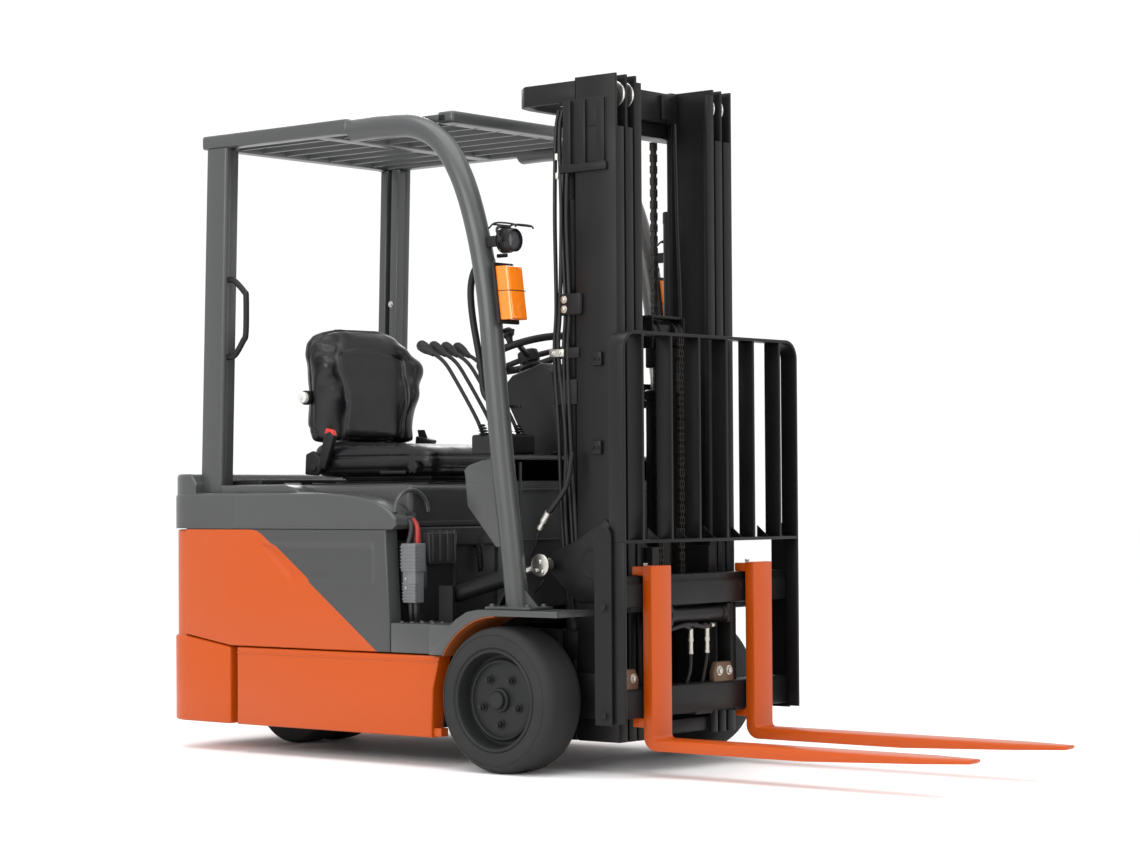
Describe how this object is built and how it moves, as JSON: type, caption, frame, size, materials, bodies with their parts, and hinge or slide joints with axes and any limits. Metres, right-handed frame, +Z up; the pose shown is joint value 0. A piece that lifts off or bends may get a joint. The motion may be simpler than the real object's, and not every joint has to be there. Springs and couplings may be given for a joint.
{
  "type": "electric forklift truck",
  "caption": "Three-wheel electric forklift with three-stage lifting and tilting mast, side shifter, load backrest, forks, overhead guard, seat on the battery hood and twin rear steer wheels.",
  "frame": {"origin": "middle of the truck's length and width, on the floor under the wheels", "axes": "+X forward along the forks, +Y to the truck's left, +Z up"},
  "size_m": [3.17, 1.09, 2.18],
  "materials": {
    "orange_paint": "semi-gloss orange paint",
    "grey_paint": "satin grey paint",
    "mast_black": "satin black paint",
    "frame_black": "matt black paint",
    "tyre_rubber": "smooth solid rubber",
    "rim_grey": "dark grey painted cast iron",
    "bright_steel": "ground steel",
    "black_plastic": "matt black moulded plastic",
    "seat_vinyl": "black vinyl",
    "amber_lens": "amber lens in a black housing",
    "connector_grey": "grey moulded plastic",
    "red_cable": "red rubber sheath",
    "black_cable": "black rubber sheath",
    "battery_grey": "grey painted steel case"
  },
  "bodies": {
    "truck": {"accelerator_pedal": "black_plastic", "battery_block": "battery_grey", "battery_connector": "connector_grey", "black_battery_cable": "black_cable", "brake_pedal": "black_plastic", "chassis_frame": "frame_black", "control_levers": "black_plastic", "counterweight": "orange_paint", "drive_axle": "frame_black", "floor_plate": "frame_black", "front_battery_panel": "black_plastic", "front_cowl": "grey_paint", "left_fender_step": "grey_paint", "left_front_pillar": "grey_paint", "left_rear_pillar": "grey_paint", "left_side_panel": "grey_paint", "left_skirt": "orange_paint", "left_turn_signal": "amber_lens", "left_work_light": "black_plastic", "overhead_guard_roof": "grey_paint", "rear_deck": "grey_paint", "red_battery_cable": "red_cable", "right_fender_step": "grey_paint", "right_front_pillar": "grey_paint", "right_rear_pillar": "grey_paint", "right_side_panel": "grey_paint", "right_skirt": "orange_paint", "right_turn_signal": "amber_lens", "right_work_light": "black_plastic", "steering_column": "black_plastic"},
    "hood": {"battery_hood": "black_plastic", "seat_suspension": "black_plastic", "seat_cushion": "seat_vinyl", "seat_back": "seat_vinyl"},
    "right_front_wheel": {"right_front_tyre": "tyre_rubber", "right_front_rim": "rim_grey"},
    "left_front_wheel": {"left_front_tyre": "tyre_rubber", "left_front_rim": "rim_grey"},
    "rear_steer_fork": {"steer_knuckle": "frame_black"},
    "rear_wheels": {"right_rear_tyre": "tyre_rubber", "left_rear_tyre": "tyre_rubber", "rear_wheel_hub": "rim_grey"},
    "steering_hand_wheel": {"steering_wheel": "black_plastic"},
    "outer_stage": {"outer_mast": "mast_black", "right_lift_cylinder": "mast_black", "left_lift_cylinder": "mast_black"},
    "middle_stage": {"middle_mast": "mast_black"},
    "inner_stage": {"inner_mast": "mast_black", "free_lift_cylinder": "mast_black"},
    "free_lift_head": {"free_lift_rod": "bright_steel"},
    "carriage": {"lift_carriage": "mast_black"},
    "side_shifter": {"side_shift_frame": "mast_black", "load_backrest": "mast_black"},
    "right_fork_arm": {"right_fork": "orange_paint"},
    "left_fork_arm": {"left_fork": "orange_paint"},
    "right_tilt_barrel": {"right_tilt_cylinder": "mast_black"},
    "right_tilt_ram": {"right_tilt_rod": "bright_steel"},
    "left_tilt_barrel": {"left_tilt_cylinder": "mast_black"},
    "left_tilt_ram": {"left_tilt_rod": "bright_steel"}
  },
  "joints": [
    {"name": "hood_hinge", "type": "hinge", "parent": "truck", "child": "hood", "pos_m": [-1.167, 0, 0.9], "axis": [0, -1, 0], "range_deg": [0, 60]},
    {"name": "right_front_wheel_spin", "type": "hinge", "parent": "truck", "child": "right_front_wheel", "pos_m": [0.015, -0.456, 0.2285], "axis": [0, 1, 0], "continuous": true},
    {"name": "left_front_wheel_spin", "type": "hinge", "parent": "truck", "child": "left_front_wheel", "pos_m": [0.015, 0.456, 0.2285], "axis": [0, 1, 0], "continuous": true},
    {"name": "rear_steer", "type": "hinge", "parent": "truck", "child": "rear_steer_fork", "pos_m": [-1.285, 0, 0.5997], "axis": [0, 0, 1], "range_deg": [-80, 80]},
    {"name": "rear_wheel_spin", "type": "hinge", "parent": "rear_steer_fork", "child": "rear_wheels", "pos_m": [-1.285, 0, 0.1905], "axis": [0, 1, 0], "continuous": true},
    {"name": "steering_wheel_turn", "type": "hinge", "parent": "truck", "child": "steering_hand_wheel", "pos_m": [-0.3, 0, 1.335], "axis": [-0.3267, 0, 0.9451], "continuous": true},
    {"name": "mast_tilt", "type": "hinge", "parent": "truck", "child": "outer_stage", "pos_m": [0.015, 0, 0.2285], "axis": [0, 1, 0], "range_deg": [-5, 5]},
    {"name": "middle_lift", "type": "slide", "parent": "outer_stage", "child": "middle_stage", "axis": [0, 0, 1], "range_m": [0, 1.45]},
    {"name": "inner_lift", "type": "slide", "parent": "middle_stage", "child": "inner_stage", "axis": [0, 0, 1], "range_m": [0, 1.45]},
    {"name": "carriage_lift", "type": "slide", "parent": "inner_stage", "child": "carriage", "axis": [0, 0, 1], "range_m": [0, 1.4]},
    {"name": "free_lift_rod_slide", "type": "slide", "parent": "inner_stage", "child": "free_lift_head", "axis": [0, 0, 1], "range_m": [0, 0.7]},
    {"name": "side_shift", "type": "slide", "parent": "carriage", "child": "side_shifter", "axis": [0, 1, 0], "range_m": [-0.1, 0.1]},
    {"name": "right_fork_slide", "type": "slide", "parent": "side_shifter", "child": "right_fork_arm", "axis": [0, 1, 0], "range_m": [-0.11, 0.18]},
    {"name": "left_fork_slide", "type": "slide", "parent": "side_shifter", "child": "left_fork_arm", "axis": [0, 1, 0], "range_m": [-0.18, 0.11]},
    {"name": "right_tilt_cylinder_pivot", "type": "hinge", "parent": "truck", "child": "right_tilt_barrel", "pos_m": [-0.315, -0.35, 0.545], "axis": [0, 1, 0], "range_deg": [-2.5, 2.5]},
    {"name": "right_tilt_rod_slide", "type": "slide", "parent": "right_tilt_barrel", "child": "right_tilt_ram", "axis": [0.9671, 0, 0.2545], "range_m": [-0.036, 0.036]},
    {"name": "left_tilt_cylinder_pivot", "type": "hinge", "parent": "truck", "child": "left_tilt_barrel", "pos_m": [-0.315, 0.35, 0.545], "axis": [0, 1, 0], "range_deg": [-2.5, 2.5]},
    {"name": "left_tilt_rod_slide", "type": "slide", "parent": "left_tilt_barrel", "child": "left_tilt_ram", "axis": [0.9671, 0, 0.2545], "range_m": [-0.036, 0.036]}
  ],
  "couplings": [
    {"joint": "inner_lift", "follows": "middle_lift", "ratio": 1},
    {"joint": "free_lift_rod_slide", "follows": "carriage_lift", "ratio": 0.5},
    {"joint": "right_tilt_cylinder_pivot", "follows": "mast_tilt", "ratio": 0.39281},
    {"joint": "right_tilt_rod_slide", "follows": "mast_tilt", "m_per_rad": 0.39006},
    {"joint": "left_tilt_cylinder_pivot", "follows": "mast_tilt", "ratio": 0.39281},
    {"joint": "left_tilt_rod_slide", "follows": "mast_tilt", "m_per_rad": 0.39006}
  ]
}
